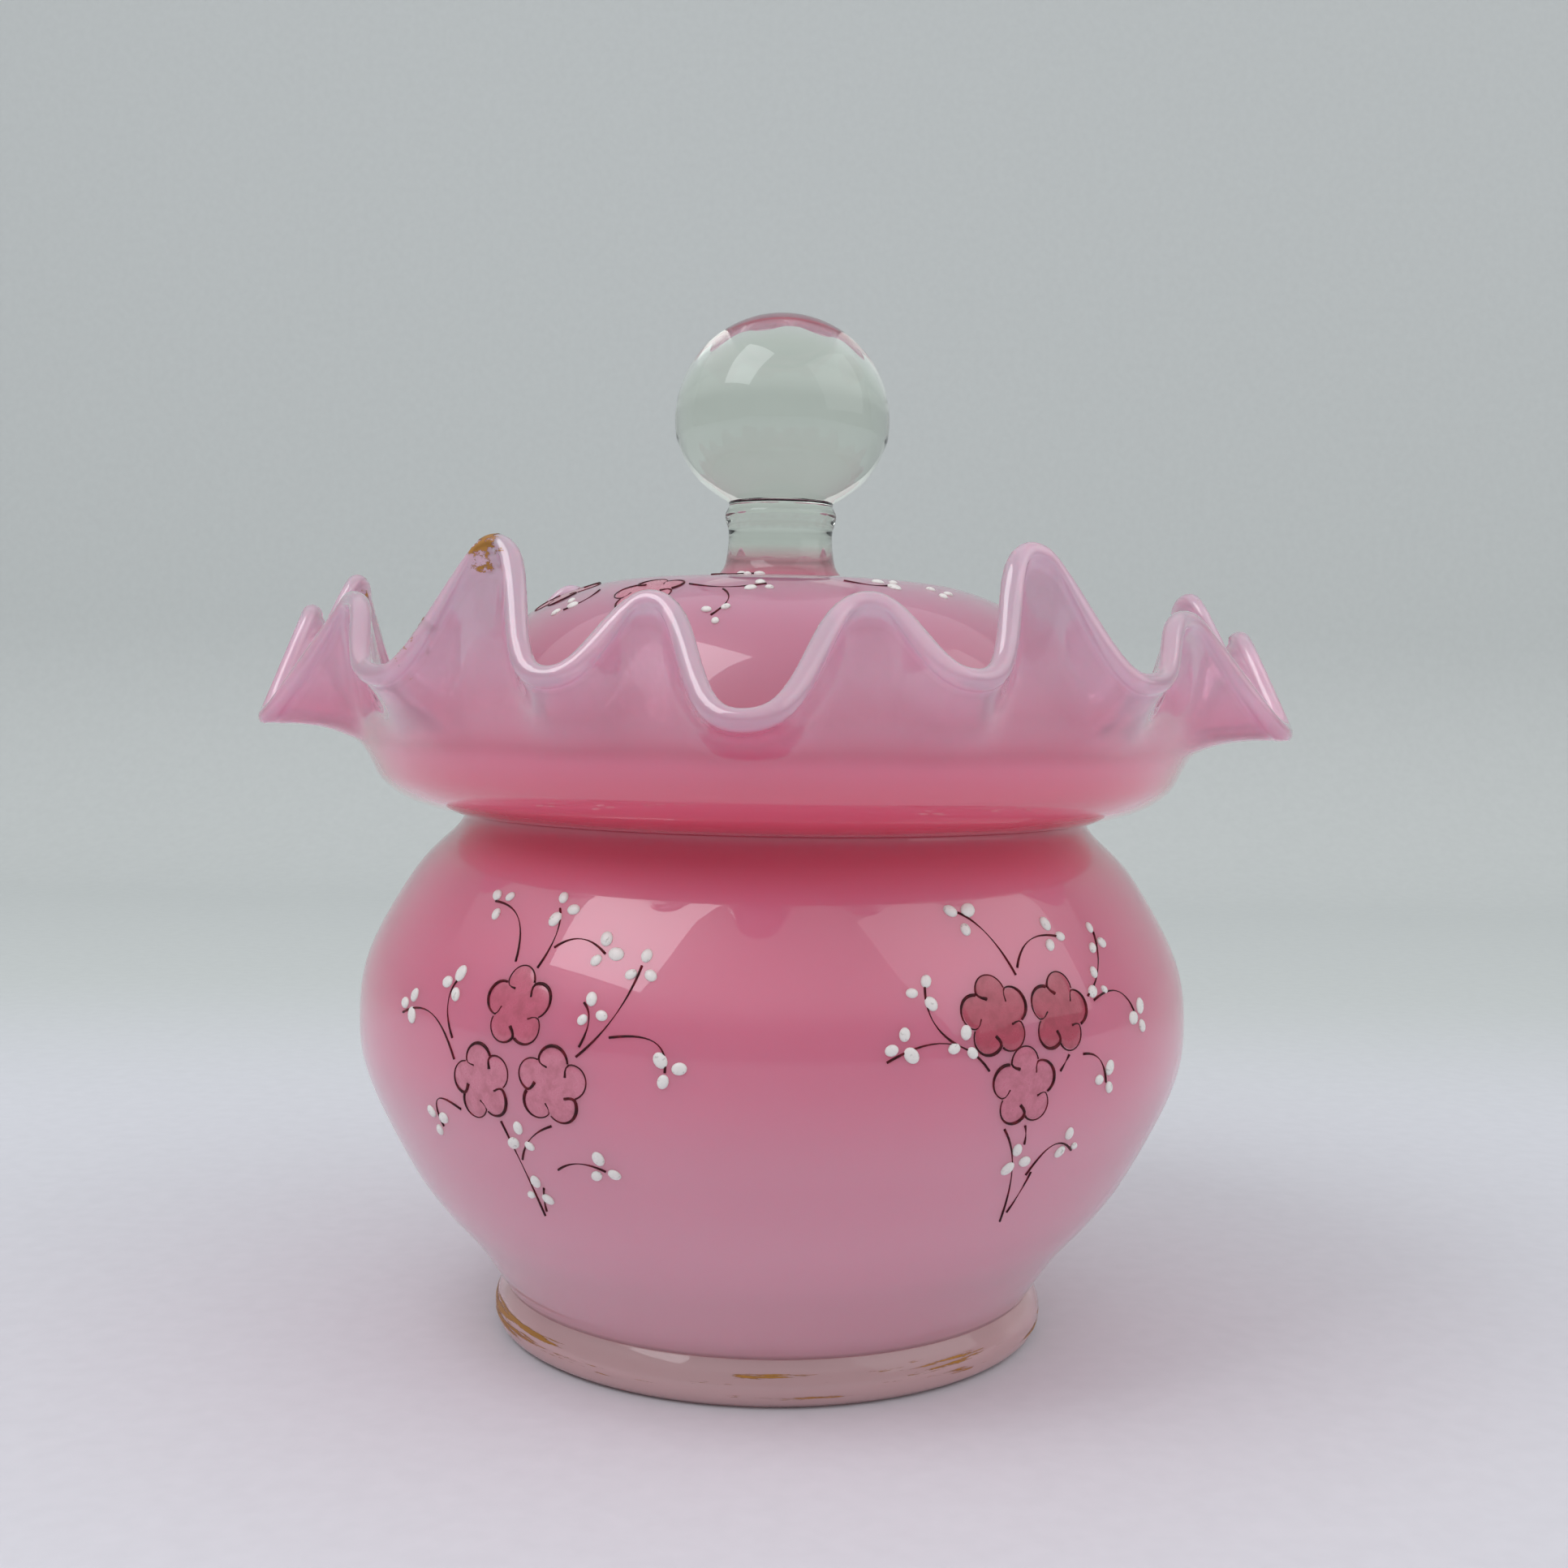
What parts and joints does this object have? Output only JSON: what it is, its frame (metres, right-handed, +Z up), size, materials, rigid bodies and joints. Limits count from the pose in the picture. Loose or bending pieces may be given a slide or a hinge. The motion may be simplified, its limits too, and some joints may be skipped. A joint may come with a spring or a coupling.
{
  "type": "lidded glass cream jar",
  "caption": "Round pink opaline glass cream jar on a clear foot ring, with a crimped ruffled rim and a loose domed lid lifted by a clear ball knob.",
  "frame": {"origin": "on the floor under the jar's axis, at the middle of the foot ring", "axes": "+Z up along the jar's axis; the painted front faces -Y; +X is to the right of the front"},
  "size_m": [0.1411, 0.1422, 0.1435],
  "materials": {
    "clear_glass": "clear, glossy",
    "knob_glass": "clear, glossy",
    "pink_glass": "milky pink opaline glass, glossy",
    "ruffle_glass": "translucent lilac-pink opaline glass, glossy",
    "lid_glass": "milky pink opaline glass, glossy",
    "gilding": "worn fired gold",
    "brown_enamel": "dark brown fired enamel line",
    "white_enamel": "raised white fired enamel",
    "rose_enamel": "thin rose enamel wash",
    "mauve_enamel": "thin mauve enamel wash"
  },
  "bodies": {
    "jar": {"foot_ring": "clear_glass", "bowl": "pink_glass", "ruffled_collar": "ruffle_glass", "rim_gilding": "gilding", "foot_gilding": "gilding", "left_spray_outlines": "brown_enamel", "left_spray_stems": "brown_enamel", "left_spray_washes": "mauve_enamel", "left_spray_dots": "white_enamel", "right_spray_outlines": "brown_enamel", "right_spray_stems": "brown_enamel", "right_spray_washes": "rose_enamel", "right_spray_dots": "white_enamel"},
    "lid": {"lid_dome": "lid_glass", "knob": "knob_glass", "lid_spray_outlines": "brown_enamel", "lid_spray_stems": "brown_enamel", "lid_spray_washes": "mauve_enamel", "lid_spray_dots": "white_enamel"}
  },
  "joints": [
    {"name": "lid_lift", "type": "slide", "parent": "jar", "child": "lid", "axis": [0, 0, 1], "range_m": [0, 0.06]}
  ]
}
